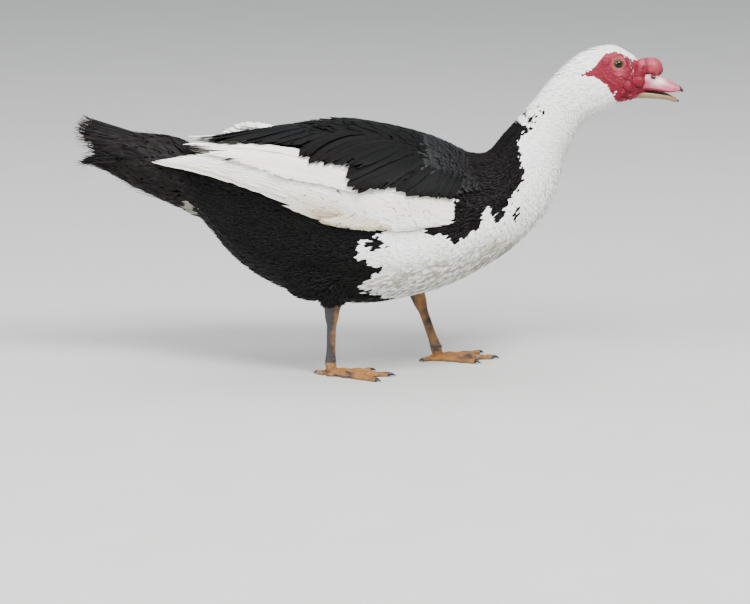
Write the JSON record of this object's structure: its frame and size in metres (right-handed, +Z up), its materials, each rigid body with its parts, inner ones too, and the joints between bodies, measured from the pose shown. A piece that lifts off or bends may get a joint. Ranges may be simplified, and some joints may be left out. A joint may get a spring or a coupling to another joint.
{
  "type": "muscovy duck",
  "caption": "Life-size museum-type model of a black and white pied Muscovy drake, standing still with its neck stretched forward and its red caruncled face raised.",
  "frame": {"origin": "floor level under the centre of the whole bird, midway between tail tip and bill tip and between its sides", "axes": "+X from the tail towards the bill, +Y to the bird's own left, +Z up"},
  "size_m": [0.7722, 0.2084, 0.425],
  "materials": {
    "black_feather": "soft sheen, faint green",
    "white_feather": "soft, matte",
    "red_skin": "bare, warty, slightly moist",
    "bill_horn": "smooth horn, satin",
    "dark_horn": "smooth horn, satin",
    "eye": "wet gloss",
    "leg_skin": "scaly skin",
    "web_skin": "scaly skin"
  },
  "bodies": {
    "root": {"bill_nail": "dark_horn", "claw_left_hind": "dark_horn", "claw_left_inner": "dark_horn", "claw_left_middle": "dark_horn", "claw_left_outer": "dark_horn", "claw_right_hind": "dark_horn", "claw_right_inner": "dark_horn", "claw_right_middle": "dark_horn", "claw_right_outer": "dark_horn", "eye_left": "eye", "eye_right": "eye", "face": "red_skin", "foot_left": "web_skin", "foot_right": "web_skin", "head": "white_feather", "lower_bill": "bill_horn", "neck_lower": "white_feather", "neck_upper": "white_feather", "scapulars_left": "black_feather", "scapulars_right": "black_feather", "shank_left": "leg_skin", "shank_right": "leg_skin", "tail": "black_feather", "thigh_left": "black_feather", "thigh_right": "black_feather", "torso": "black_feather", "upper_bill": "bill_horn", "wing_left": "white_feather", "wing_right": "white_feather"}
  },
  "joints": []
}
